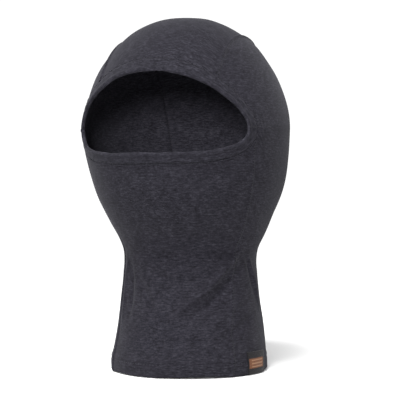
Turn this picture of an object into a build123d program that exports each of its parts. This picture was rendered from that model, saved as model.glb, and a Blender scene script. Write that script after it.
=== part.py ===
from build123d import *
import math
import os

# Knitted balaclava, worn shape, standing on its neck hem.
# Millimetres, +Z up, the face opening looks along -Y, the wearer's left is +X.
# The origin is in the middle of the hem's outline, on the surface that the hem stands on.

# Head
HEAD_HALF_WIDTH = 91.2
HEAD_HALF_DEPTH = 104.5
WIDEST_HEIGHT = 217.0
CROWN_RISE = 99.8
# How far the crown leans back, and how much slimmer than an ellipsoid it is halfway up
CROWN_LEAN = 3.2
CROWN_SLIMMING = 0.017
# Angles up the crown, from the widest section, at which it is sectioned
CROWN_ANGLES = (14, 28, 42, 55, 66, 75, 82, 86)

# Sections below the widest one: height, half width, reach to the front, reach to the back
LOWER_SECTIONS = (
    (12, 69.3, 65.5, 79.3),
    (22, 68.2, 62.5, 79.0),
    (45, 65.3, 56.2, 75.4),
    (66, 62.6, 52.8, 70.6),
    (88, 60.6, 49.8, 68.3),
    (98, 59.9, 49.3, 68.7),
    (109, 60.7, 50.9, 74.0),
    (120, 65.1, 56.0, 82.6),
    (133, 71.1, 68.2, 90.0),
    (152, 79.5, 82.8, 98.0),
    (174, 86.2, 92.1, 102.8),
    (195, 90.0, 99.1, 104.9),
)
SECTION_POINTS = 16
# Where each section's curve starts and ends, away from every seam
SECTION_START = math.radians(20)

# Fabric
KNIT = 1.2
HEM_HEIGHT = 14.0
HEM_THICKNESS = 2.4
SEAM_GAP = 0.6
SEAM_THREAD_HALF = 0.5
SEAM_THREAD_PROUD = 0.4
CLEARANCE = 0.1

# Face opening, seen square from the front
OPENING_HALF_WIDTH = 76.6
OPENING_MIDDLE = 214.0
OPENING_UP = 47.5
OPENING_DOWN = 23.0
BAND_AT_CORNER = 4.6
BAND_UP = 11.5
BAND_DOWN = 9.3
BAND_OUTSIDE = 0.6
BAND_INSIDE = 1.8

# Seams
CROWN_SEAM_X = 53.0
NAPE_SEAM_X = 40.0
NAPE_EASE = 5.0
NAPE_TAPER_TOP = 262.0
FOREHEAD_CUT = 230.0
HEM_SEAM_X = 46.0
# Side seam, seen square from the side: y, z, from the opening's corner down to the hem
SIDE_SEAM = (
    (-48.5, 214),
    (-48, 195),
    (-42.2, 174),
    (-32, 144),
    (-21.4, 120),
    (-21.2, 104),
    (-26.2, 66),
    (-32.6, 32),
    (-37.8, 0),
)

# Stitching
STITCH_THICKNESS = 0.3
STITCH_WIDTH = 0.8
BAND_STITCH_INSET = 1.1
HEM_STITCH_HEIGHT = 11.0
BARTACK_SPAN = (-58.0, -49.0)
BARTACK_HEIGHT = 2.4

# Labels
LABEL_FRONT_Y = -19.5
LABEL_BACK_Y = 7.5
LABEL_HEIGHT = 20.0
LABEL_THICKNESS = 0.6
LABEL_STITCH_INSET = 2.0
CARE_LABEL_FRONT_Y = -30.0
CARE_LABEL_BACK_Y = -8.0
CARE_LABEL_BOTTOM = 30.0
CARE_LABEL_TOP = 62.0
CARE_LABEL_THICKNESS = 0.3

# Everything is drawn about the ears' line, then moved to put the whole outline's middle at y = 0
MIDDLE_SHIFT = -2.9

FAR = 200.0
FAR_UP = 400.0
LABEL_SPACE = (LABEL_FRONT_Y - CLEARANCE, LABEL_BACK_Y + CLEARANCE)


def section(height, half_width, front, back):
    """One closed level outline of the hood, an ellipse about a centre between front and back."""
    centre = (back - front) / 2
    half_depth = (back + front) / 2
    points = []
    for step in range(SECTION_POINTS):
        angle = SECTION_START + 2 * math.pi * step / SECTION_POINTS
        points.append((half_width * math.cos(angle), centre + half_depth * math.sin(angle), height))
    return Wire([Edge.make_spline(points, periodic=True)])


def hood(offset, bottom=0.0):
    """The solid inside the hood's outer surface, grown or shrunk by offset."""
    hem = LOWER_SECTIONS[0]
    sections = [section(bottom, hem[1] + offset, hem[2] + offset, hem[3] + offset)]
    for height, half_width, front, back in LOWER_SECTIONS:
        sections.append(section(height, half_width + offset, front + offset, back + offset))
    width, depth, rise = (size + offset for size in (HEAD_HALF_WIDTH, HEAD_HALF_DEPTH, CROWN_RISE))
    sections.append(section(WIDEST_HEIGHT, width, depth, depth))
    for angle in CROWN_ANGLES:
        up = math.sin(math.radians(angle))
        share = math.cos(math.radians(angle)) * (1 - 4 * CROWN_SLIMMING * up * (1 - up))
        lean = CROWN_LEAN * up * (2 - up)
        reach = depth * share
        sections.append(section(WIDEST_HEIGHT + rise * up, width * share, reach - lean, reach + lean))
    return Solid.make_loft(sections)


def block(x, y, z):
    """A box between three pairs of limits."""
    corner = Location((x[0], y[0], z[0]))
    return Solid.make_box(x[1] - x[0], y[1] - y[0], z[1] - z[0], Plane(corner))


LEFT_HALF = block((0, FAR), (-FAR, FAR), (-1, FAR_UP))
RIGHT_HALF = block((-FAR, 0), (-FAR, FAR), (-1, FAR_UP))


def opening_prism(side, up, down, front=-FAR):
    """The space in front of the face inside an opening outline of the given half width and reaches."""
    points = []
    for step in range(24):
        angle = math.radians(15 * step)
        across = side * math.cos(angle)
        if step <= 12:
            rise = up * abs(math.sin(angle)) ** 1.24
        else:
            rise = -down * (1 - math.cos(angle) ** 4) ** 0.42
        points.append((across, 0, OPENING_MIDDLE + rise))
    outline = Face(Wire([Edge.make_spline(points, periodic=True)]))
    return Solid.extrude(outline, Vector(0, front, 0))


def band_prism(grow):
    """The opening's prism out to the binding's outer edge, grown a little."""
    return opening_prism(
        OPENING_HALF_WIDTH + BAND_AT_CORNER + grow, OPENING_UP + BAND_UP + grow, OPENING_DOWN + BAND_DOWN + grow
    )


def crown_region(grow):
    """The long strip from the forehead over the crown and down the back to the hem."""
    half = CROWN_SEAM_X + grow
    taper_top = (half, 0, NAPE_TAPER_TOP)
    hem_corner = (HEM_SEAM_X + grow, 0, -1)
    taper = [taper_top, (NAPE_SEAM_X + NAPE_EASE + grow, 0, 165), (NAPE_SEAM_X + grow, 0, 95), hem_corner]
    left_edge = Edge.make_spline(taper)
    outline = [
        left_edge,
        Edge.make_line(taper_top, (half, 0, FAR_UP)),
        Edge.make_line((half, 0, FAR_UP), (0, 0, FAR_UP)),
        Edge.make_line((0, 0, FAR_UP), (0, 0, -1)),
        Edge.make_line((0, 0, -1), hem_corner),
    ]
    left_strip = Solid.extrude(Face(Wire(outline)), Vector(0, 2 * FAR, 0)).moved(Location((0, -FAR, 0)))
    strip = left_strip + left_strip.mirror(Plane.YZ)
    return strip - block((-FAR, FAR), (-FAR - 1, 0), (-2, FOREHEAD_CUT))


def front_region(grow):
    """Everything in front of the side seams and below the opening's corners."""
    top = OPENING_MIDDLE + grow
    seam = Edge.make_spline([(0, y + grow, top if z == OPENING_MIDDLE else z) for y, z in SIDE_SEAM])
    high = (0, SIDE_SEAM[0][0] + grow, top)
    low = (0, SIDE_SEAM[-1][0] + grow, 0)
    outline = [
        seam,
        Edge.make_line(low, (0, low[1], -1)),
        Edge.make_line((0, low[1], -1), (0, -FAR, -1)),
        Edge.make_line((0, -FAR, -1), (0, -FAR, top)),
        Edge.make_line((0, -FAR, top), high),
    ]
    return Solid.extrude(Face(Wire(outline)), Vector(2 * FAR, 0, 0)).moved(Location((-FAR, 0, 0)))


def layer(low, high):
    """The skin between two offsets of the hood's outer surface, open at the neck."""
    return hood(high) - hood(low, bottom=-1.0)


def pieces(shape):
    """The solids of a shape that are more than boolean crumbs."""
    return Compound([solid for solid in shape.solids() if solid.volume > 0.5])


def write(name, shape):
    """Save one node in its final place and print what it holds."""
    node = pieces(shape).moved(Location((0, MIDDLE_SHIFT, 0)))
    solids = node.solids()
    print(name, len(solids), "solids", round(node.volume), "mm3")
    export_step(solids[0] if len(solids) == 1 else node, f"parts/{name}.step")


def panels():
    """The four cut pieces of the hood, each with its turned-up hem."""
    lining = hood(-KNIT, bottom=-1.0)
    hem_space = block((-FAR, FAR), (-FAR, FAR), (-2, HEM_HEIGHT))
    knit = hood(0) - (lining - hem_space)
    knit = knit - (hood(-HEM_THICKNESS, bottom=-1.0) & hem_space)
    knit = knit - band_prism(CLEARANCE)
    sides = knit - crown_region(SEAM_GAP) - front_region(SEAM_GAP)
    left = (sides & LEFT_HALF) - block((0, FAR), LABEL_SPACE, (-1, LABEL_THICKNESS + CLEARANCE))
    right = sides & RIGHT_HALF
    write("crown_panel", knit & crown_region(-SEAM_GAP))
    write("front_panel", knit & front_region(-SEAM_GAP))
    write("left_side_panel", left)
    write("right_side_panel", right)


def seam_threads():
    """The overlocked thread that closes each seam between two panels."""
    thread = layer(-KNIT, SEAM_THREAD_PROUD)
    crown = crown_region(SEAM_THREAD_HALF) - crown_region(-SEAM_THREAD_HALF) - band_prism(CLEARANCE)
    side = front_region(SEAM_THREAD_HALF) - front_region(-SEAM_THREAD_HALF) - band_prism(CLEARANCE)
    write("left_crown_seam_thread", thread & (crown & LEFT_HALF))
    write("right_crown_seam_thread", thread & (crown & RIGHT_HALF))
    write("left_side_seam_thread", thread & (side & LEFT_HALF))
    write("right_side_seam_thread", thread & (side & RIGHT_HALF))


def opening_bands():
    """The two folded bindings round the face opening, with their stitching and corner bartacks."""
    ring = band_prism(0) - opening_prism(OPENING_HALF_WIDTH, OPENING_UP, OPENING_DOWN)
    above = block((-FAR, FAR), (-FAR, FAR), (OPENING_MIDDLE + CLEARANCE, FAR_UP))
    below = block((-FAR, FAR), (-FAR, FAR), (0, OPENING_MIDDLE - CLEARANCE))
    folded = layer(-BAND_INSIDE, BAND_OUTSIDE)
    write("upper_opening_binding", folded & (ring & above))
    write("lower_opening_binding", folded & (ring & below))
    low = BAND_OUTSIDE + CLEARANCE / 2
    skin = layer(low, low + STITCH_THICKNESS)
    row_outside = band_prism(-BAND_STITCH_INSET)
    row_inside = band_prism(-BAND_STITCH_INSET - STITCH_WIDTH)
    half_tack = BARTACK_HEIGHT / 2
    over_tack = block((-FAR, FAR), (-FAR, FAR), (OPENING_MIDDLE + half_tack + CLEARANCE, FAR_UP))
    under_tack = block((-FAR, FAR), (-FAR, FAR), (0, OPENING_MIDDLE - half_tack - CLEARANCE))
    write("upper_binding_stitching", skin & ((row_outside - row_inside) & over_tack))
    lower_row = (hood(low + STITCH_THICKNESS) & (row_outside & under_tack)) - row_inside
    write("lower_binding_stitching", lower_row - hood(low, bottom=-1.0))
    tack = block((0, FAR), BARTACK_SPAN, (OPENING_MIDDLE - half_tack, OPENING_MIDDLE + half_tack))
    write("left_corner_bartack", skin & tack)
    write("right_corner_bartack", skin & tack.mirror(Plane.YZ))


def hem_stitching():
    """The row of stitches round the neck hem, under the label where it passes it."""
    low = CLEARANCE / 2
    skin = layer(low, low + STITCH_THICKNESS)
    slab = block((-FAR, FAR), (-FAR, FAR), (HEM_STITCH_HEIGHT, HEM_STITCH_HEIGHT + STITCH_WIDTH))
    wide = SEAM_THREAD_HALF + CLEARANCE
    back_crossings = crown_region(wide) - crown_region(-wide)
    front_crossings = front_region(wide) - front_region(-wide)
    label = block((0, FAR), LABEL_SPACE, (-1, LABEL_HEIGHT))
    write("hem_stitching", skin & (slab - back_crossings - front_crossings - label))


def labels():
    """The woven label folded round the hem's edge, its stitches, and the care label inside the neck."""
    span = (LABEL_FRONT_Y, LABEL_BACK_Y)
    leg = block((0, FAR), span, (0, LABEL_HEIGHT))
    web = block((0, FAR), span, (0, LABEL_THICKNESS))
    outer_face = CLEARANCE + LABEL_THICKNESS
    inner_face = -HEM_THICKNESS - CLEARANCE
    outside = layer(CLEARANCE, outer_face) & leg
    inside = layer(inner_face - LABEL_THICKNESS, inner_face) & leg
    fold = layer(inner_face - LABEL_THICKNESS, outer_face) & web
    write("side_label", outside + inside + fold)
    low = outer_face + CLEARANCE / 2
    top = LABEL_HEIGHT - LABEL_STITCH_INSET
    inset_span = (LABEL_FRONT_Y + LABEL_STITCH_INSET, LABEL_BACK_Y - LABEL_STITCH_INSET)
    row = block((0, FAR), inset_span, (top, top + STITCH_WIDTH))
    write("label_stitching", layer(low, low + STITCH_THICKNESS) & row)
    face = -KNIT - CLEARANCE
    tab = block((0, FAR), (CARE_LABEL_FRONT_Y, CARE_LABEL_BACK_Y), (CARE_LABEL_BOTTOM, CARE_LABEL_TOP))
    write("care_label", layer(face - CARE_LABEL_THICKNESS, face) & tab)


os.makedirs("parts", exist_ok=True)
panels()
seam_threads()
opening_bands()
hem_stitching()
labels()
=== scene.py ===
import math

import bpy
import numpy as np
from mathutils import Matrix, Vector


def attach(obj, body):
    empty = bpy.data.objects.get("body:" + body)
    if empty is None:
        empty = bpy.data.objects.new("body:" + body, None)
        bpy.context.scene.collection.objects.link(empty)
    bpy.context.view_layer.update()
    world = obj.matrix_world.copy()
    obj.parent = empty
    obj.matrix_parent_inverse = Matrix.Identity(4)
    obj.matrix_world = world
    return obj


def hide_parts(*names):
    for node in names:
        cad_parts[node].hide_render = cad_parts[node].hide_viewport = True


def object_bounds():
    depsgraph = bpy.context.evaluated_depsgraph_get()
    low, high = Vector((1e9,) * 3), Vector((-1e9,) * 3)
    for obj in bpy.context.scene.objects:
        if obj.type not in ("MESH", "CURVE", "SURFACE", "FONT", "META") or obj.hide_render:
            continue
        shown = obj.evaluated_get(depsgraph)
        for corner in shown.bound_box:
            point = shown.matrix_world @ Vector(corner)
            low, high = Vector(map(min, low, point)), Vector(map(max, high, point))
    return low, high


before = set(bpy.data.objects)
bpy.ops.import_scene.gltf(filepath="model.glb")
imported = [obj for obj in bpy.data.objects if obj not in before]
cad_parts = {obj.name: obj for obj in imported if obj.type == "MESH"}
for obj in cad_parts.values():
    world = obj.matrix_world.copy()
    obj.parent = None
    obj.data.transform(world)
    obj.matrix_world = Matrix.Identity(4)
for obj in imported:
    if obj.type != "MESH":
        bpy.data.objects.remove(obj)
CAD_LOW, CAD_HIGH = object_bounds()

# A thin knitted balaclava in worn shape. Sizes here are millimetres until a mesh is made.
# The face looks along -Y, the wearer's left is +X, the hem stands on z = 0.
METRE = 0.001

# ---------------------------------------------------------------- the hood's form, as in CAD
HALF_WIDTH = 1000 * (CAD_HIGH.x - CAD_LOW.x) / 2
HALF_DEPTH = 104.5
WIDEST = 217.0
RISE = 1000 * CAD_HIGH.z - WIDEST
LEAN = 3.2
SLIMMING = 0.017
# The form is drawn about the ears' line, then moved to put the outline's middle at y = 0
SHIFT = (0, -2.9, 0)
# Height, half width, reach to the front, reach to the back. The rows from 12 to 195, LEAN and SLIMMING come
# from a numerical fit to the hood's outline. Several rows were then smoothed, by up to 2 mm.
SECTIONS = np.array(
    [
        (0, 69.3, 65.5, 79.3),
        (12, 69.3, 65.5, 79.3),
        (22, 68.2, 62.5, 79.0),
        (45, 65.3, 56.2, 75.4),
        (66, 62.6, 52.8, 70.6),
        (88, 60.6, 49.8, 68.3),
        (98, 59.9, 49.3, 68.7),
        (109, 60.7, 50.9, 74.0),
        (120, 65.1, 56.0, 82.6),
        (133, 71.1, 68.2, 90.0),
        (152, 79.5, 82.8, 98.0),
        (174, 86.2, 92.1, 102.8),
        (195, 90.0, 99.1, 104.9),
        (WIDEST, HALF_WIDTH, HALF_DEPTH, HALF_DEPTH),
    ]
)

# Face opening, seen square from the front
OPEN_SIDE = 76.6
OPEN_MIDDLE = 214.0
OPEN_UP = 47.5
OPEN_DOWN = 23.0
BAND_SIDE = 4.6
BAND_UP = 11.5
BAND_DOWN = 9.3
# How square the opening's upper and lower edges are: 0.5 is round, and less is squarer
UPPER_POWER = 0.62
LOWER_POWER = 0.42

# Seams. The crown panel keeps its full width above TAPER_TOP; TAPER is its (height, half width) down
# the back.
CROWN_X = 53.0
TAPER_TOP = 262.0
TAPER = np.array([(-1, 46.0), (95, 40.0), (165, 45.0), (TAPER_TOP, CROWN_X)])
# Height and y of the side seam, solved numerically at chosen heights to follow the real seam's line
SIDE_SEAM = np.array(
    [
        (0, -37.8),
        (32, -32.6),
        (66, -26.2),
        (104, -21.2),
        (120, -21.4),
        (144, -32.0),
        (174, -42.2),
        (195, -48.0),
        (214, -48.5),
    ]
)

KNIT = 1.1
HEM = 14.0
HEM_STITCH = 11.3
# How far the panels reach in under the bindings
TUCK = 1.4
CROWN_TUCK = 1.6
# The label's two ends in y, and its top
LABEL = (-21.5, 5.5)
LABEL_TOP = 20.3


def through(knots, values, at, end_slope=None):
    """A smooth curve through knots, with Catmull-Rom slopes."""
    slopes = np.gradient(values, knots)
    if end_slope is not None:
        slopes[-1] = end_slope
    at = np.clip(at, knots[0], knots[-1])
    cell = np.clip(np.searchsorted(knots, at, side="right") - 1, 0, len(knots) - 2)
    step = knots[cell + 1] - knots[cell]
    u = (at - knots[cell]) / step
    value = (2 * u**3 - 3 * u**2 + 1) * values[cell] + (3 * u**2 - 2 * u**3) * values[cell + 1]
    return value + step * ((u**3 - 2 * u**2 + u) * slopes[cell] + (u**3 - u**2) * slopes[cell + 1])


def crown_shape(up):
    """Slimness and lean of the crown at a share of its rise."""
    return 1 - 4 * SLIMMING * up * (1 - up), LEAN * up * (2 - up)


def form(z):
    """Half width, half depth and centre y of the hood's level section at height z."""
    z = np.asarray(z, float)
    low = np.minimum(z, WIDEST)
    width, front, back = (through(SECTIONS[:, 0], SECTIONS[:, i], low, 0.0) for i in (1, 2, 3))
    up = np.clip((z - WIDEST) / RISE, 0, 1)
    slim, lean = crown_shape(up)
    dome = np.sqrt(np.clip(1 - up**2, 1e-6, 1)) * slim
    return width * dome, (front + back) / 2 * dome, (back - front) / 2 + lean


def skin(t, z):
    """The point of the hood at angle t from the front towards the wearer's left, at height z."""
    width, depth, centre = form(z)
    return np.stack([width * np.sin(t), centre - depth * np.cos(t), z + 0 * t], -1)


def crown_point(x, theta):
    """The point of the crown at width x and angle theta over it from the front."""
    wide = x + 0.0 * theta
    for _ in range(6):
        across = np.sqrt(1 - (wide / HALF_WIDTH) ** 2)
        up = across * np.sin(theta)
        slim, lean = crown_shape(up)
        wide = x / slim
    return np.stack([x + 0 * up, lean - HALF_DEPTH * slim * across * np.cos(theta), WIDEST + RISE * up], -1)


def crown_angle(x, z):
    """The angle theta at which the front of the crown is at height z."""
    up = (z - WIDEST) / RISE
    wide = x / crown_shape(up)[0]
    return np.arcsin(np.clip(up / np.sqrt(1 - (wide / HALF_WIDTH) ** 2), 0, 1))


def angle_at(p):
    """The angle t and mean radius of points near the hood."""
    width, depth, centre = form(p[..., 2])
    t = np.arctan2(p[..., 0] / width, -(p[..., 1] - centre) / depth)
    return t, np.sqrt((width**2 + depth**2) / 2)


def outward(p):
    """Unit normals of the hood's form at points on it."""
    x, y, z = p[..., 0], p[..., 1], p[..., 2]
    up = np.clip((z - WIDEST) / RISE, 0, 1)
    width, depth, centre = form(z)
    bare = np.sqrt(np.clip(1 - up**2, 1e-6, 1))

    def inside(height):
        low = form(np.minimum(height, WIDEST))
        slim, lean = crown_shape(np.clip((height - WIDEST) / RISE, 0, 1))
        return (x / low[0] / slim) ** 2 + ((y - low[2] - lean) / low[1] / slim) ** 2

    n = np.stack([2 * x / (width / bare) ** 2, 2 * (y - centre) / (depth / bare) ** 2, 0 * x], -1)
    n[..., 2] = (inside(z + 0.5) - inside(z - 0.5)) + 2 * up / RISE
    return n / np.linalg.norm(n, axis=-1, keepdims=True)


def upper_edge(x, grow=0.0):
    """Height of the opening's upper edge at x, grown by a share of the binding's width."""
    u = np.clip(np.abs(x) / (OPEN_SIDE + grow * BAND_SIDE), 0, 1)
    return OPEN_MIDDLE + (OPEN_UP + grow * BAND_UP) * (1 - u**2) ** UPPER_POWER


def lower_edge(x, grow=0.0):
    """Height of the opening's lower edge at x, grown by a share of the binding's width."""
    u = np.clip(np.abs(x) / (OPEN_SIDE + grow * BAND_SIDE), 0, 1)
    return OPEN_MIDDLE - (OPEN_DOWN + grow * BAND_DOWN) * (1 - u**4) ** LOWER_POWER


def crown_seam_x(z):
    """Half width of the crown panel at height z down the back."""
    return through(TAPER[:, 0], TAPER[:, 1], z, 0.0)


def side_seam_y(z):
    """How far forward (y) the side seam is at height z."""
    return through(SIDE_SEAM[:, 0], SIDE_SEAM[:, 1], z)


# ---------------------------------------------------------------- relief: what the cloth does off its form
def bump(distance, width):
    """A soft hump, 1 at no distance and fading over a width."""
    return np.exp(-((distance / width) ** 2))


def smooth_step(x, low, high):
    """Rises smoothly from 0 at low to 1 at high."""
    u = np.clip((x - low) / (high - low), 0, 1)
    return u * u * (3 - 2 * u)


# How much deeper the folds are than their listed heights
FOLD_DEPTH = 1.25
# Folds: height in mm (negative is a valley), half width in mm, then (angle in degrees, height) points. Ten
# of them follow creases whose points were solved numerically and rounded; the others are listed.
FOLDS = (
    (-1.5, 4.6, ((-30, 106), (-22, 103), (11, 102), (41, 103), (62, 107))),
    (1.2, 5.2, ((-24, 98), (-16, 97), (-2, 92), (11, 90), (24, 92), (36, 97), (48, 101))),
    (-1.2, 3.2, ((-16, 90), (-6, 86.5), (12, 80.5), (28, 83))),
    (3.5, 3.2, ((66, 108), (63, 106), (47, 90), (32, 73.5), (20, 64), (10, 54), (5, 50))),
    (-2.5, 3.6, ((68, 96), (66, 92), (52, 80), (38, 66), (22, 51), (14, 45))),
    (1.2, 3.8, ((70, 70), (58, 60), (44, 50), (30, 42))),
    (-1.5, 4.2, ((78, 53), (74, 49), (59, 40), (44, 31), (36, 28))),
    (-1.5, 4.8, ((-18, 31), (-10, 29.5), (7, 29), (26, 31.5), (36, 34))),
    (1.5, 2.4, ((78, 104), (83, 93), (88, 81), (91, 66), (94, 54))),
    (-1.0, 2.6, ((74, 104), (79, 92), (83, 78), (86, 66))),
    (1.4, 3.0, ((-52, 104), (-49, 97), (-48, 72), (-47, 52), (-48, 40))),
    (-1.2, 3.0, ((-42, 98), (-38, 84), (-36, 62), (-38, 46))),
    (-1.0, 3.4, ((-36, 90), (-24, 78), (-13, 64), (-10, 47))),
    (-1.6, 4.5, ((150, 106), (180, 99), (210, 106))),
    (1.2, 5.0, ((140, 92), (175, 86), (215, 92))),
    (1.2, 3.6, ((-95, 100), (-104, 70), (-100, 44))),
    (-1.0, 4.0, ((118, 98), (124, 66), (120, 40))),
    (0.9, 4.0, ((132, 80), (150, 62), (172, 50))),
    (0.6, 5.0, ((66, 152), (84, 146), (104, 150))),
    (0.6, 5.0, ((-66, 152), (-84, 146), (-104, 150))),
)
# Where the puckers gather at the opening's corners: angle from the front, and height
CORNER_ANGLE = math.radians(64)
CORNER_HEIGHT = 210


def along(points):
    """Fold points as (distance round the hood, height)."""
    z = np.array([p[1] for p in points], float)
    width, depth, _ = form(z)
    radius = np.sqrt((width**2 + depth**2) / 2)
    return np.stack([np.radians([p[0] for p in points]) * radius, z], -1)


def fold_height(s, z, height, width, points):
    """A soft ridge or valley along a line of points, fading out at both ends."""
    line = along(points)
    lengths = np.r_[0, np.cumsum(np.hypot(*(line[1:] - line[:-1]).T))]
    best = np.full(s.shape, 1e9)
    place = np.zeros(s.shape)
    for k in range(len(line) - 1):
        step = line[k + 1] - line[k]
        u = ((s - line[k, 0]) * step[0] + (z - line[k, 1]) * step[1]) / (step @ step)
        u = np.clip(u, 0, 1)
        gap = np.hypot(s - line[k, 0] - u * step[0], z - line[k, 1] - u * step[1])
        near = gap < best
        best = np.where(near, gap, best)
        place = np.where(near, (lengths[k] + u * (lengths[k + 1] - lengths[k])) / lengths[-1], place)
    return height * bump(best, width) * np.sin(np.pi * np.clip(place, 0.03, 0.97)) ** 0.7


def seam_distances(p, n):
    """Distance along the cloth from the crown seams and from the side seams."""
    x, y, z = np.abs(p[..., 0]), p[..., 1], p[..., 2]
    back = y > 0
    crown = (x - np.where(back, crown_seam_x(z), CROWN_X)) / np.sqrt(np.clip(1 - n[..., 0] ** 2, 0.05, 1))
    crown = np.where(~back & (z < 240), 99.0, crown)
    side = (y - side_seam_y(np.minimum(z, OPEN_MIDDLE))) / np.sqrt(np.clip(1 - n[..., 1] ** 2, 0.05, 1))
    side = np.where(z > OPEN_MIDDLE, 99.0, side)
    return crown, side


def relief(p, n):
    """How far the cloth stands off its form, in mm, outwards."""
    t, radius = angle_at(p)
    s, z = t * radius, p[..., 2]
    height = 0.45 * np.sin(s / 17 + z / 23) * np.sin(z / 19 - s / 41)
    height += 0.25 * np.sin(s / 9.1 - z / 31 + 1.3) * np.sin(z / 11.7 + s / 27)
    for fold in FOLDS:
        height += FOLD_DEPTH * fold_height(s, z, *fold)
        round_back = s - 2 * np.pi * radius * np.sign(s)
        height += FOLD_DEPTH * fold_height(round_back, z, *fold)
    crown, side = seam_distances(p, n)
    height += 1.5 * bump(crown, 1.5) - 0.35 * bump(crown, 0.4)
    firm = 1 - 0.55 * smooth_step(z, 104, 132)
    height += firm * (1.15 * bump(side, 1.5) - 0.4 * bump(side, 0.4))
    for sign in (1, -1):
        across = sign * s - CORNER_ANGLE * radius
        reach = bump(across, 8) * bump(z - CORNER_HEIGHT, 11)
        slant = across + 0.35 * (z - CORNER_HEIGHT) + 0.9 * np.sin(z / 3.7 + sign)
        height += 0.3 * reach * np.sin(2 * np.pi * slant / 4.6)
        tab = smooth_step(across, 0, 4) * (1 - smooth_step(across, 9, 20))
        height += 0.7 * bump(z - 212.5 - 0.12 * across, 2.0) * tab
    height += 0.55 * (1 - smooth_step(z, HEM, HEM + 2.5))
    height -= 0.5 * bump(z - HEM_STITCH, 0.8)
    return height


# ---------------------------------------------------------------- meshes
def mesh_object(name, points, faces, uv):
    """A smooth-shaded object from points and cloth coordinates in mm."""
    mesh = bpy.data.meshes.new(name)
    mesh.from_pydata(((np.asarray(points) + SHIFT) * METRE).tolist(), [], faces)
    mesh.update()
    mesh.polygons.foreach_set("use_smooth", [True] * len(mesh.polygons))
    layer = mesh.uv_layers.new(name="cloth")
    corner = np.zeros(len(mesh.loops), np.int32)
    mesh.loops.foreach_get("vertex_index", corner)
    layer.data.foreach_set("uv", (np.asarray(uv)[corner] * METRE).astype(np.float32).ravel())
    piece = bpy.data.objects.new(name, mesh)
    bpy.context.scene.collection.objects.link(piece)
    return piece


def grid_faces(rows, columns, start, flip):
    """Quads between the points of a grid whose first point is start."""
    r, c = np.meshgrid(np.arange(rows - 1), np.arange(columns - 1), indexing="ij")
    a = (start + r * columns + c).ravel()
    quads = np.stack([a, a + 1, a + columns + 1, a + columns], -1)
    return (quads[:, ::-1] if flip else quads).tolist()


def rim_faces(rows, columns, count, flip):
    """Walls between the borders of two equal grids, the second one starting at count."""
    border = [c for c in range(columns)]
    border += [r * columns + columns - 1 for r in range(1, rows)]
    border += [(rows - 1) * columns + c for c in range(columns - 2, -1, -1)]
    border += [r * columns for r in range(rows - 2, 0, -1)]
    walls = []
    for a, b in zip(border, border[1:] + border[:1]):
        wall = [a, a + count, b + count, b]
        walls.append(wall[::-1] if flip else wall)
    return walls


def tube_faces(rings, sides, start=0, flip=False):
    """Faces of a tube of rings of points, with a cap at each end."""
    faces = []
    for r in range(rings - 1):
        here, ahead = start + r * sides, start + (r + 1) * sides
        for c in range(sides):
            d = (c + 1) % sides
            faces.append([here + c, here + d, ahead + d, ahead + c])
    faces.append([start + c for c in range(sides)][::-1])
    faces.append([start + (rings - 1) * sides + c for c in range(sides)])
    return [face[::-1] for face in faces] if flip else faces


def cloth_panel(name, base, uv, flip=False):
    """A closed thin sheet over a grid of points of the form, with the cloth's relief."""
    rows, columns = base.shape[:2]
    n = outward(base)
    high = relief(base, n)
    outer = base + n * high[..., None]
    inner = base + n * (high - KNIT)[..., None]
    outer, inner = hem_edge(base, n, outer, inner)
    count = rows * columns
    points = np.concatenate([outer.reshape(-1, 3), inner.reshape(-1, 3)])
    faces = grid_faces(rows, columns, 0, flip) + grid_faces(rows, columns, count, not flip)
    faces += rim_faces(rows, columns, count, flip)
    piece = mesh_object(name, points, faces, np.tile(uv.reshape(-1, 2), (2, 1)))
    quads = (rows - 1) * (columns - 1)
    # Inner faces take the reverse jersey, whose paler colours are painted light on the hood's inside.
    inside_painted_light = np.zeros(len(faces), np.int32)
    inside_painted_light[quads : 2 * quads] = 1
    piece.data.materials.append(JERSEY)
    piece.data.materials.append(REVERSE_PAINTED_LIGHT)
    piece.data.polygons.foreach_set("material_index", inside_painted_light)
    return piece


def ease(count, share):
    """Places from 0 to 1, closer together at both ends by a share."""
    u = np.linspace(0, 1, count)
    eased = 0.5 - 0.5 * np.cos(np.pi * u)
    return (1 - share) * u + share * eased


def path_length(points):
    """Running length down the middle column of a grid of points."""
    middle = points[:, points.shape[1] // 2]
    return np.r_[0, np.cumsum(np.linalg.norm(middle[1:] - middle[:-1], axis=-1))]


def hem_edge(base, n, outer, inner):
    """Thickens the turned-up hem, rounds its folded lower edge and lets it wave by a millimetre or two."""
    z = base[..., 2]
    fold = 1.35
    depth = np.clip(fold - z, 0, fold)
    inset = fold - np.sqrt(np.clip(fold**2 - depth**2, 0, None))
    thick = (1 - smooth_step(z, HEM - 0.6, HEM + 0.2)) * 1.3
    outer = outer - n * inset[..., None]
    inner = inner - n * (thick - inset * 0.75)[..., None]
    t, radius = angle_at(base)
    wave = 0.9 + 0.5 * np.sin(3 * t + 0.6) + 0.4 * np.sin(5 * t - 1.1)
    y = base[..., 1]
    at_label = smooth_step(y, LABEL[0] - 3, LABEL[0]) * (1 - smooth_step(y, LABEL[1], LABEL[1] + 3))
    wave += 0.9 * at_label * (base[..., 0] > 0)
    lift = (wave * (1 - smooth_step(z, 0, 30)))[..., None] * np.array([0, 0, 1.0])
    return outer + lift, inner + lift


def hem_rows(top, count):
    """Heights from the hem up, with extra rows where the hem folds."""
    fold = np.array([0, 0.08, 0.3, 0.65, 1.05, 1.4])
    return np.concatenate([fold, np.linspace(2.2, top, count - len(fold))])


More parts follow.
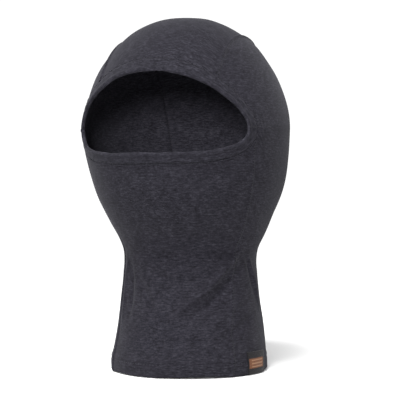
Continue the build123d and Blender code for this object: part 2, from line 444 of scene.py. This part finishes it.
def crown_panel():
    columns, front_rows, back_rows = 121, 210, 185
    q = 2 * ease(columns, 0.75) - 1
    # over the dome, from under the binding to the widest height at the back
    p = np.linspace(0, 1, front_rows)[:, None]
    half = np.full((front_rows, 1), CROWN_X)
    for _ in range(4):
        first = crown_angle(half, upper_edge(half, 1) - CROWN_TUCK)
        theta = first + (np.pi - first) * p
        half = np.where(theta > np.pi / 2, crown_seam_x(crown_point(half, theta)[..., 2]), CROWN_X)
    x = q[None, :] * half
    first = crown_angle(x, upper_edge(x, 1) - CROWN_TUCK)
    dome = crown_point(x, first + (np.pi - first) * p)
    # down the back
    z = hem_rows(WIDEST - 1.2, back_rows)[::-1][:, None] + 0 * q[None, :]
    x = q[None, :] * crown_seam_x(z)
    width, depth, centre = form(z)
    back = np.stack([x, centre + depth * np.sqrt(1 - (x / width) ** 2), z], -1)
    base = np.concatenate([dome, back])
    length = path_length(base)
    uv = np.stack([base[..., 0], -np.repeat(length[:, None], columns, 1)], -1)
    return cloth_panel("crown_panel", base, uv, flip=True)


def side_panel(name, sign):
    rows, columns = 300, 150
    low = hem_rows(OPEN_MIDDLE - 0.6, 190)
    apex = crown_point(np.array(CROWN_X), np.pi / 2)[2]
    high = OPEN_MIDDLE + (apex - 0.1 - OPEN_MIDDLE) * np.sin(np.linspace(0.004, np.pi / 2, rows - len(low)))
    z = np.concatenate([low, high])[:, None]
    width, depth, centre = form(z)
    band_u = np.clip((z - OPEN_MIDDLE) / (OPEN_UP + BAND_UP), 0, 1) ** (1 / UPPER_POWER)
    band_x = (OPEN_SIDE + BAND_SIDE) * np.sqrt(1 - band_u) - TUCK
    front_x = np.where(z > OPEN_MIDDLE, np.maximum(band_x, CROWN_X), 0)
    at_seam = np.arccos(np.clip((centre - side_seam_y(z)) / depth, -1, 1))
    at_band = np.arcsin(np.clip(front_x / width, 0, 1))
    first = np.where(z > OPEN_MIDDLE, at_band, at_seam)
    last = np.pi - np.arcsin(np.clip(np.where(z > TAPER_TOP, CROWN_X, crown_seam_x(z)) / width, 0, 1))
    t = first + (last - first) * ease(columns, 0.7)[None, :]
    base = skin(t, z + 0 * t)
    _, radius = angle_at(base)
    uv = np.stack([t * radius, base[..., 2]], -1)
    base[..., 0] *= sign
    uv[..., 0] *= sign
    return cloth_panel(name, base, uv, flip=sign < 0)


def front_panel():
    rows, columns = 230, 221
    q = np.sin(np.pi / 2 * np.linspace(-1, 1, columns))

    def angle(z):
        width, depth, centre = form(z)
        return np.arccos((centre - side_seam_y(z)) / depth)

    low, high = np.full(columns, 170.0), np.full(columns, OPEN_MIDDLE)
    for _ in range(40):
        middle = (low + high) / 2
        x = form(middle)[0] * np.sin(q * angle(middle))
        above = middle > lower_edge(x, 1) + TUCK
        high = np.where(above, middle, high)
        low = np.where(above, low, middle)
    share = hem_rows(1.0, 8)[:6]
    body = np.linspace(0, 1, rows - len(share) + 1)[1:, None]
    z = np.concatenate([np.repeat(share[:, None], columns, 1), 1.4 + body * (low[None, :] - 1.4)])
    t = q[None, :] * angle(z)
    base = skin(t, z)
    _, radius = angle_at(base)
    uv = np.stack([t * radius, z], -1)
    return cloth_panel("front_panel", base, uv)


# ---------------------------------------------------------------- bindings round the opening
# Round a folded strip: share of the way from the rim to the outer edge, height over the form
BAND_PROFILE = (
    *((1.02, -0.9), (1.035, 0.3), (1.0, 0.75), (0.95, 0.6), (0.925, 0.0), (0.905, -0.35)),
    *((0.88, 0.0), (0.85, 0.7), (0.76, 1.0), (0.6, 1.05), (0.44, 0.98), (0.32, 0.95)),
    *((0.24, 1.25), (0.14, 1.6), (0.05, 1.5), (-0.03, 1.0), (-0.08, 0.3), (-0.09, -0.5)),
    *((-0.05, -1.2), (0.04, -1.7), (0.16, -1.85), (0.4, -1.75), (0.7, -1.7), (0.95, -1.5)),
)
# The share of the binding's width at which its stitching runs
STITCH_SHARE = 0.905


def opening_point(angle, grow, upper):
    """A point of the form on the opening's outline, grown by a share of the binding's width."""
    x = (OPEN_SIDE + grow * BAND_SIDE) * np.cos(angle)
    rise = (OPEN_UP + grow * BAND_UP) * np.abs(np.sin(angle)) ** (2 * UPPER_POWER)
    fall = (OPEN_DOWN + grow * BAND_DOWN) * (1 - np.cos(angle) ** 4) ** LOWER_POWER
    z = OPEN_MIDDLE + np.where(upper, rise, -fall)
    width, depth, centre = form(z)
    y = centre - depth * np.sqrt(np.clip(1 - (x / width) ** 2, 0, 1))
    return np.stack([x, y, z], -1)


def even_angles(upper, count, gap):
    """Outline angles an even distance apart, starting and ending a gap from the corners."""
    fine = np.linspace(0, np.pi, 4000)
    line = opening_point(fine, 0.5, upper)
    length = np.r_[0, np.cumsum(np.linalg.norm(line[1:] - line[:-1], axis=-1))]
    return np.interp(np.linspace(gap, length[-1] - gap, count), length, fine)


def binding(name, upper):
    """A folded strip along the opening's upper or lower edge."""
    count = 300
    angle = even_angles(upper, count, 0)[:, None]
    profile = np.array(BAND_PROFILE)
    if upper:
        profile[4:7, 1] += (0.45, 0.6, 0.45)
    grow, high = profile[None, :, 0], profile[None, :, 1]
    rim = np.clip(1 - grow, 0, 1)
    place = np.linspace(0, 1, count)[:, None]
    wobble = 0.02 * np.sin(place * 31) * rim + 0.012 * np.sin(place * 57 + 1) * rim
    base = opening_point(angle + 0 * grow, grow + wobble, upper)
    n = outward(base)
    pucker = 0.22 * np.sin(place * 190) * bump(grow - 0.93, 0.25)
    lift = high + pucker + 0.2 * np.sin(place * 23) * rim
    points = base + n * lift[..., None]
    sides = len(profile)
    faces = tube_faces(count, sides, flip=not upper)
    run = np.r_[0, np.cumsum(np.linalg.norm(points[1:, 9] - points[:-1, 9], axis=-1))]
    uv = np.stack([np.repeat(run[:, None], sides, 1), np.repeat(grow * 10, count, 0) + 0 * lift], -1)
    return mesh_object(name, points.reshape(-1, 3), faces, uv.reshape(-1, 2))


# ---------------------------------------------------------------- stitches
def grains(name, centres, along_dir, normals, length, radius):
    """One small rounded stitch at each centre, lying along a direction."""
    ring, sides = 7, 8
    u = np.linspace(-1, 1, ring)
    swell = np.sqrt(np.clip(1 - np.abs(u) ** 2.6, 0.02, 1))
    turn = 2 * np.pi * np.arange(sides) / sides
    side = np.cross(along_dir, normals)
    side /= np.linalg.norm(side, axis=-1, keepdims=True)
    arch = (1 - u**2)[None, :, None, None] * radius * 0.6
    points = centres[:, None, None] + along_dir[:, None, None] * (u[None, :, None, None] * length / 2)
    points = points + normals[:, None, None] * arch
    girth = radius * swell[None, :, None, None]
    points = points + girth * np.cos(turn)[None, None, :, None] * side[:, None, None]
    points = points + girth * np.sin(turn)[None, None, :, None] * normals[:, None, None]
    faces = []
    for k in range(len(centres)):
        faces += tube_faces(ring, sides, k * ring * sides)
    flat = points.reshape(-1, 3)
    return mesh_object(name, flat, faces, flat[:, [0, 2]])


def walk(line, spacing):
    """Centres and unit directions at even spacing along a line of points."""
    length = np.r_[0, np.cumsum(np.linalg.norm(line[1:] - line[:-1], axis=-1))]
    count = max(2, int(length[-1] / spacing))
    places = (np.arange(count) + 0.5) * length[-1] / count
    centres = np.stack([np.interp(places, length, line[:, i]) for i in range(3)], -1)
    ahead = np.stack([np.interp(places + 0.5, length, line[:, i]) for i in range(3)], -1)
    behind = np.stack([np.interp(places - 0.5, length, line[:, i]) for i in range(3)], -1)
    direction = ahead - behind
    return centres, direction / np.linalg.norm(direction, axis=-1, keepdims=True)


def stitch_row(name, line, lift, spacing=3.1, length=2.5, radius=0.24, across=False):
    """Stitches along a line on the form, lifted onto the cloth; across lays them over the seam."""
    centres, directions = walk(line, spacing)
    n = outward(centres)
    if across:
        directions = np.cross(directions, n)
        directions /= np.linalg.norm(directions, axis=-1, keepdims=True)
    stand = lift(centres, n) if callable(lift) else np.full(len(centres), lift)
    return grains(name, centres + n * stand[:, None], directions, n, length, radius)


def crown_seam_line(sign):
    """The crown seam from the binding over the crown and down to the hem."""
    first = crown_angle(CROWN_X, upper_edge(CROWN_X, 1) + 1)
    dome = crown_point(np.array(CROWN_X), np.linspace(first, np.pi / 2, 120))
    z = WIDEST + (dome[-1, 2] - WIDEST) * np.cos(np.linspace(0.01, np.pi / 2, 120))
    z = np.concatenate([z, np.linspace(WIDEST - 2, 2.5, 160)])
    x = np.where(z > TAPER_TOP, CROWN_X, crown_seam_x(z))
    width, depth, centre = form(z)
    back = np.stack([x, centre + depth * np.sqrt(np.clip(1 - (x / width) ** 2, 0, 1)), z], -1)
    line = np.concatenate([dome, back])
    line[:, 0] *= sign
    return line


def side_seam_line(sign):
    """The side seam from the opening's corner down to the hem."""
    z = np.linspace(OPEN_MIDDLE - 8, 2.5, 260)
    width, depth, centre = form(z)
    y = side_seam_y(z)
    x = width * np.sqrt(1 - ((y - centre) / depth) ** 2)
    return np.stack([sign * x, y, z], -1)


def hem_line():
    """The row of stitches round the hem."""
    t = np.linspace(-np.pi, np.pi, 720)
    return skin(t, np.full(720, HEM_STITCH))


# ---------------------------------------------------------------- labels
def folded_strip(name, first_y, last_y, centreline, thickness):
    """A strip on the wearer's left whose section in (height over the form, z) follows a centreline."""
    columns = 40
    section = np.array(centreline, float)
    tangent = np.gradient(section, axis=0)
    tangent /= np.linalg.norm(tangent, axis=-1, keepdims=True)
    normal = np.stack([tangent[:, 1], -tangent[:, 0]], -1)
    y = np.linspace(first_y, last_y, columns)
    points = []
    for side in (0.5, -0.5):
        ring = section + normal * thickness * side
        z = np.repeat(np.maximum(ring[:, 1], 0.5)[:, None], columns, 1)
        width, depth, centre = form(z)
        x = width * np.sqrt(1 - ((y[None, :] - centre) / depth) ** 2)
        base = np.stack([x, y[None, :] + 0 * x, z], -1)
        n = outward(base)
        n[..., 2] = 0
        n /= np.linalg.norm(n, axis=-1, keepdims=True)
        lifted = base + n * ring[:, 0][:, None, None]
        lifted[..., 2] = ring[:, 1][:, None]
        points.append(lifted)
    rows = len(section)
    count = rows * columns
    run = np.r_[0, np.cumsum(np.linalg.norm(section[1:] - section[:-1], axis=-1))]
    uv = np.stack(np.broadcast_arrays(y[None, :] - first_y, run[:, None]), -1).reshape(-1, 2)
    faces = grid_faces(rows, columns, 0, True) + grid_faces(rows, columns, count, False)
    faces += rim_faces(rows, columns, count, True)
    return mesh_object(name, np.concatenate([p.reshape(-1, 3) for p in points]), faces, np.tile(uv, (2, 1)))


def side_label():
    """The woven label, folded round the hem's lower edge."""
    outer, inner = 1.45, -3.35
    turn = np.linspace(0, np.pi, 15)
    middle, reach = (outer + inner) / 2, (outer - inner) / 2
    down = [(outer + 0.25 * bump(z - LABEL_TOP, 3), z) for z in np.linspace(LABEL_TOP, 2.2, 26)]
    under = [(middle + reach * math.cos(a), 2.0 - 1.6 * math.sin(a)) for a in turn]
    up = [(inner, z) for z in np.linspace(2.2, 18.5, 20)]
    return folded_strip("side_label", LABEL[0], LABEL[1], down + under + up, 0.45)


def label_stitches():
    """The row of stitches near the label's top."""
    top = LABEL_TOP - 1.6
    y = np.linspace(LABEL[0] + 1.6, LABEL[1] - 1.6, 40)
    width, depth, centre = form(np.full(40, top))
    x = width * np.sqrt(1 - ((y - centre) / depth) ** 2)
    return stitch_row("label_stitching", np.stack([x, y, np.full(40, top)], -1), 1.85, 2.2, 1.7, 0.2)


def care_label():
    """A blank tab that hangs from the left side seam, inside the neck."""
    top, drop = 62, 32
    curve = [(-5.2 - 0.8 * math.sin((top - z) / drop * math.pi), z) for z in np.linspace(top, top - drop, 30)]
    return folded_strip("care_label", -30, -8, curve, 0.3)


def bartack(name, sign):
    """A short dense bar of stitches where the two bindings meet."""
    count = 15
    angle = 0.0 if sign > 0 else math.pi
    grow = np.linspace(-0.02, 1.25, count)
    line = opening_point(np.full(count, angle), grow, True)
    n = outward(line)
    up = np.zeros_like(n)
    up[:, 2] = 1
    up -= n * np.sum(up * n, -1, keepdims=True)
    up /= np.linalg.norm(up, axis=-1, keepdims=True)
    return grains(name, line + n * 1.35, up, n, 2.6, 0.24)


# ---------------------------------------------------------------- materials
class Nodes:
    """A short way to write a node tree."""

    def __init__(self, name):
        self.material = bpy.data.materials.new(name)
        self.material.use_nodes = True
        self.tree = self.material.node_tree
        self.shader = self.tree.nodes["Principled BSDF"]

    def add(self, kind, inputs=None, **settings):
        node = self.tree.nodes.new(kind)
        for key, value in settings.items():
            setattr(node, key, value)
        for key, value in (inputs or {}).items():
            self.link(value, node.inputs[key])
        return node

    def link(self, value, socket):
        if isinstance(value, bpy.types.NodeSocket):
            self.tree.links.new(value, socket)
        else:
            socket.default_value = value

    def maths(self, operation, a, b=0.0, clamp=False):
        return self.add("ShaderNodeMath", {0: a, 1: b}, operation=operation, use_clamp=clamp).outputs[0]

    def cloth_place(self, scale_x=1.0, scale_y=1.0, turn=0.0):
        """Cloth coordinates in millimetres, stretched by the scales."""
        uv = self.add("ShaderNodeUVMap", uv_map="cloth").outputs[0]
        size = (1000 * scale_x, 1000 * scale_y, 1000)
        inputs = {"Vector": uv, "Scale": size, "Rotation": (0, 0, turn)}
        return self.add("ShaderNodeMapping", inputs).outputs[0]

    def noise(self, place, scale, detail=3.0, rough=0.55):
        inputs = {"Vector": place, "Scale": scale, "Detail": detail, "Roughness": rough}
        return self.add("ShaderNodeTexNoise", inputs).outputs["Fac"]

    def ramp(self, value, stops):
        node = self.add("ShaderNodeValToRGB", {"Fac": value})
        elements = node.color_ramp.elements
        while len(elements) < len(stops):
            elements.new(0.5)
        for element, (place, colour) in zip(elements, stops):
            element.position = place
            element.color = (*colour, 1)
        return node.outputs["Color"]

    def mix(self, share, a, b, blend="MIX"):
        node = self.add("ShaderNodeMix", data_type="RGBA", blend_type=blend)
        self.link(share, node.inputs[0])
        self.link(a, node.inputs[6])
        self.link(b, node.inputs[7])
        return node.outputs[2]

    def bump(self, height, strength, distance):
        inputs = {"Height": height, "Strength": strength, "Distance": distance}
        return self.add("ShaderNodeBump", inputs).outputs[0]

    def set(self, **values):
        for key, value in values.items():
            self.link(value, self.shader.inputs[key.replace("_", " ")])


def knit_material(name, dark, middle, pale):
    """Fine heathered jersey: mixed fibre tones in short level streaks, over columns of knit loops, with
    painted shade in the hollows between the loops and painted light on their tops.
    """
    wale = 1.05
    course = 0.75 * wale
    m = Nodes(name)
    flecks = m.noise(m.cloth_place(0.55, 1.35), 1.0, 4.0, 0.7)
    streaks = m.noise(m.cloth_place(0.2, 0.75), 1.0, 3.0, 0.6)
    clouds = m.noise(m.cloth_place(0.09, 0.11), 1.0, 2.0, 0.5)
    tone = m.maths("ADD", m.maths("MULTIPLY", flecks, 0.45), m.maths("MULTIPLY", streaks, 0.42))
    tone = m.maths("ADD", tone, m.maths("MULTIPLY", clouds, 0.13))
    colour = m.ramp(tone, [(0.385, dark), (0.5, middle), (0.615, pale)])
    place = m.cloth_place()
    apart = m.add("ShaderNodeSeparateXYZ", {0: place})
    column = m.maths("SINE", m.maths("MULTIPLY", apart.outputs[0], 2 * math.pi / wale))
    bend = m.maths("MULTIPLY", m.maths("ABSOLUTE", column), 1.6)
    along_wale = m.maths("MULTIPLY", apart.outputs[1], 2 * math.pi / course)
    row = m.maths("SINE", m.maths("ADD", along_wale, bend))
    loops = m.maths("ADD", m.maths("MULTIPLY", column, 0.3), m.maths("MULTIPLY", row, 0.2))
    loops = m.maths("ADD", loops, 0.5)
    # Painted shade and light: the colour darkens in the hollows between the loops and lightens on their tops.
    loop_painted_shade = m.ramp(loops, [(0.0, (0.55, 0.55, 0.57)), (1.0, (1.2, 1.2, 1.2))])
    colour = m.mix(0.22, colour, loop_painted_shade, "MULTIPLY")
    fuzz = m.noise(m.cloth_place(0.5, 0.9), 1.0, 1.0, 0.4)
    height = m.maths("ADD", m.maths("MULTIPLY", loops, 0.6), fuzz)
    m.set(Base_Color=colour, Roughness=0.92, Normal=m.bump(height, 0.25, 0.0001))
    m.set(Sheen_Weight=0.03, Sheen_Roughness=0.5, Sheen_Tint=(0.75, 0.75, 0.85, 1), Specular_IOR_Level=0.08)
    return m.material


def thread_material(name, colour, pale):
    """Twisted sewing thread."""
    m = Nodes(name)
    place = m.cloth_place(1.0, 1.0, 0.7)
    apart = m.add("ShaderNodeSeparateXYZ", {0: place})
    twist = m.maths("SINE", m.maths("MULTIPLY", apart.outputs[0], 14.0))
    share = m.maths("ADD", m.maths("MULTIPLY", twist, 0.25), m.noise(place, 2.0), clamp=True)
    m.set(Base_Color=m.mix(share, colour, pale), Roughness=0.6, Normal=m.bump(twist, 0.4, 0.0002))
    m.set(Specular_IOR_Level=0.12)
    return m.material


def label_material():
    """Black woven label with a plain rust block and pale bars."""
    m = Nodes("woven_label")
    place = m.cloth_place()
    apart = m.add("ShaderNodeSeparateXYZ", {0: place})
    across, down = apart.outputs[0], apart.outputs[1]

    def between(value, low, high):
        return m.maths("MULTIPLY", m.maths("GREATER_THAN", value, low), m.maths("LESS_THAN", value, high))

    block = m.maths("MULTIPLY", between(across, 1.2, 23.5), between(down, 5.8, 14.4))
    stripe = m.maths("PINGPONG", m.maths("SUBTRACT", down, 7.3), 1.45)
    bars = m.maths("MULTIPLY", between(across, 4.5, 21.5), between(stripe, 0.0, 0.62))
    bars = m.maths("MULTIPLY", bars, between(down, 7.0, 13.4))
    weave = m.add("ShaderNodeTexChecker", {"Vector": place, "Scale": 2.6}).outputs["Fac"]
    rust = m.mix(m.noise(place, 0.3), (0.062, 0.02, 0.0075, 1), (0.15, 0.058, 0.024, 1))
    colour = m.mix(block, (0.0042, 0.0034, 0.0042, 1), rust)
    colour = m.mix(bars, colour, (0.2, 0.115, 0.066, 1))
    colour = m.mix(m.maths("MULTIPLY", weave, 0.3), colour, (0.0, 0.0, 0.0, 1))
    height = m.maths("ADD", m.maths("MULTIPLY", weave, 0.4), m.maths("MULTIPLY", block, 0.6))
    m.set(Base_Color=colour, Roughness=0.55, Normal=m.bump(height, 0.5, 0.0003))
    m.set(Specular_IOR_Level=0.15)
    return m.material


def tape_material():
    """Blank satin tape."""
    m = Nodes("satin_tape")
    place = m.cloth_place(1.0, 6.0)
    ribs = m.noise(place, 1.0, 2.0)
    m.set(Base_Color=m.mix(ribs, (0.27, 0.265, 0.25, 1), (0.34, 0.335, 0.32, 1)), Roughness=0.45)
    m.set(Normal=m.bump(ribs, 0.3, 0.0002))
    return m.material


def floor_material():
    """Pale matt floor."""
    m = Nodes("pale_floor")
    place = m.add("ShaderNodeTexCoord").outputs["Object"]
    tone = m.ramp(m.noise(place, 1.5), [(0.0, (0.68, 0.68, 0.68)), (1.0, (0.7, 0.7, 0.7))])
    m.set(Base_Color=tone, Roughness=0.8, Specular_IOR_Level=0.0)
    return m.material


# ---------------------------------------------------------------- camera, light and floor
def studio():
    """The camera, the lights, the world and the floor."""
    azimuth = math.radians(20)
    distance, height, aside = 1.150, 0.15255, 0.0117
    back = Vector((math.sin(azimuth), -math.cos(azimuth), 0))
    right = Vector((math.cos(azimuth), math.sin(azimuth), 0))
    camera = bpy.data.objects.new("camera", bpy.data.cameras.new("camera"))
    camera.location = back * distance + right * aside + Vector((0, METRE * SHIFT[1], height))
    camera.rotation_euler = (math.pi / 2, 0, azimuth)
    camera.data.lens = 114.9
    bpy.context.scene.collection.objects.link(camera)
    bpy.context.scene.camera = camera

    def area(name, place, size, power, target):
        light = bpy.data.objects.new(name, bpy.data.lights.new(name, "AREA"))
        light.data.size = size
        light.data.energy = power
        light.location = place
        light.rotation_euler = (Vector(target) - Vector(place)).to_track_quat("-Z", "Y").to_euler()
        bpy.context.scene.collection.objects.link(light)

    area("key", back * 2.1 - right * 0.3 + Vector((0, 0, 0.47)), 0.4, 58, (0, 0, 0.19))
    area("high", back * 0.95 - right * 0.3 + Vector((0, 0, 1.75)), 0.6, 66, (0, 0, 0.17))
    area("rear left", -back * 1.3 + right * 1.4 + Vector((0, 0, 1.2)), 1.2, 20, (0, 0, 0.17))
    area("rear right", -back * 1.3 - right * 1.4 + Vector((0, 0, 1.2)), 1.2, 24, (0, 0, 0.17))

    world = bpy.data.worlds.new("studio")
    bpy.context.scene.world = world
    world.use_nodes = True
    tree = world.node_tree
    look = tree.nodes.new("ShaderNodeTexCoord").outputs["Generated"]

    def share(value, low, high, strength):
        """Brightness that comes in smoothly as a value goes from low to high."""
        reach = tree.nodes.new("ShaderNodeMapRange")
        reach.interpolation_type = "SMOOTHSTEP"
        for name, limit in (("From Min", low), ("From Max", high), ("To Max", strength)):
            reach.inputs[name].default_value = limit
        tree.links.new(value, reach.inputs["Value"])
        return reach.outputs[0]

    split = tree.nodes.new("ShaderNodeSeparateXYZ")
    tree.links.new(look, split.inputs[0])
    level = tree.nodes.new("ShaderNodeMath")
    level.operation = "MULTIPLY"
    tree.links.new(split.outputs[2], level.inputs[0])
    tree.links.new(split.outputs[2], level.inputs[1])
    backdrop = share(level.outputs[0], 0.16, 0.03, 0.8)
    total = share(split.outputs[2], -1.5, -1.2, 0.3)
    for term in (backdrop, share(split.outputs[2], 0.25, 1.0, 0.35)):
        add = tree.nodes.new("ShaderNodeMath")
        tree.links.new(total, add.inputs[0])
        tree.links.new(term, add.inputs[1])
        total = add.outputs[0]
    tree.links.new(total, tree.nodes["Background"].inputs["Strength"])
    tree.nodes["Background"].inputs["Color"].default_value = (1, 1, 1, 1)
    bpy.context.scene.view_settings.view_transform = "Standard"

    bpy.ops.mesh.primitive_circle_add(vertices=96, radius=1.7, fill_type="NGON", location=(0, 0, 0))
    floor = bpy.context.object
    floor.name = "floor"
    floor.data.materials.append(floor_material())


# ---------------------------------------------------------------- assembly
def dress(piece, material, node):
    """Gives a piece its material, if it has none, and its place in the frame."""
    if not piece.data.materials:
        piece.data.materials.append(material)
    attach(piece, "root")
    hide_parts(node)
    return piece


studio()
JERSEY = knit_material(
    "heather_jersey", (0.0031, 0.0029, 0.0041), (0.0088, 0.0083, 0.0116), (0.0215, 0.0206, 0.0264)
)
# The inside of the hood: the reverse face of the knit, made paler than the outer face as painted light where
# light reaches the inside through the opening.
REVERSE_PAINTED_LIGHT = knit_material(
    "jersey_reverse_painted_light", (0.0076, 0.0073, 0.0096), (0.0190, 0.0181, 0.0242), (0.0414, 0.0398, 0.0493)
)
BINDING = knit_material(
    "binding_jersey", (0.0034, 0.0032, 0.0045), (0.0091, 0.0086, 0.0119), (0.0212, 0.0204, 0.0262)
)
THREAD = thread_material("sewing_thread", (0.0075, 0.0071, 0.0096, 1), (0.017, 0.0162, 0.021, 1))
# A darker copy of the sewing thread: painted shade for the lower binding's stitch row, which lies in a
# groove.
THREAD_PAINTED_SHADE = thread_material("thread_painted_shade", (0.0022, 0.002, 0.0028, 1), (0.0062, 0.0058, 0.0078, 1))
LABEL_CLOTH = label_material()
TAPE = tape_material()

PANELS = {
    "crown_panel": crown_panel(),
    "left_side_panel": side_panel("left_side_panel", 1),
    "right_side_panel": side_panel("right_side_panel", -1),
    "front_panel": front_panel(),
}
TRIM = {node: [] for node in PANELS}
for node, panel in PANELS.items():
    panel.name = "cloth_" + node
    dress(panel, JERSEY, node)

for node, home, upper in (
    ("upper_opening_binding", "crown_panel", True),
    ("lower_opening_binding", "front_panel", False),
):
    TRIM[home].append(dress(binding("cloth_" + node, upper), BINDING, node))

for side, sign in (("left", 1), ("right", -1)):
    crown = stitch_row(f"{side}_crown_stitches", crown_seam_line(sign), relief, 2.4, 1.9, 0.2, across=True)
    TRIM["crown_panel"].append(dress(crown, THREAD, f"{side}_crown_seam_thread"))
    seam = stitch_row(f"{side}_side_stitches", side_seam_line(sign), relief, 2.4, 1.9, 0.2, across=True)
    tack = bartack(f"{side}_bartack", sign)
    TRIM[f"{side}_side_panel"] += [
        dress(seam, THREAD, f"{side}_side_seam_thread"),
        dress(tack, THREAD, f"{side}_corner_bartack"),
    ]

for node, home, upper in (
    ("upper_binding_stitching", "crown_panel", True),
    ("lower_binding_stitching", "front_panel", False),
):
    row = opening_point(even_angles(upper, 600, 2.5), STITCH_SHARE, upper)
    # The lower binding's row lies low in its groove and uses the darker thread, painted shade.
    lift, thread = (0.45, THREAD) if upper else (0.05, THREAD_PAINTED_SHADE)
    TRIM[home].append(dress(stitch_row(f"{node}_row", row, lift, 2.9, 2.4, 0.3), thread, node))

hem_row = stitch_row("hem_stitches", hem_line(), relief)
TRIM["front_panel"].append(dress(hem_row, THREAD, "hem_stitching"))
label = dress(side_label(), LABEL_CLOTH, "side_label")
label.name = "folded_label"
label_row = dress(label_stitches(), THREAD, "label_stitching")
label_row.name = "label_stitches"
tab = dress(care_label(), TAPE, "care_label")
tab.name = "blank_care_label"
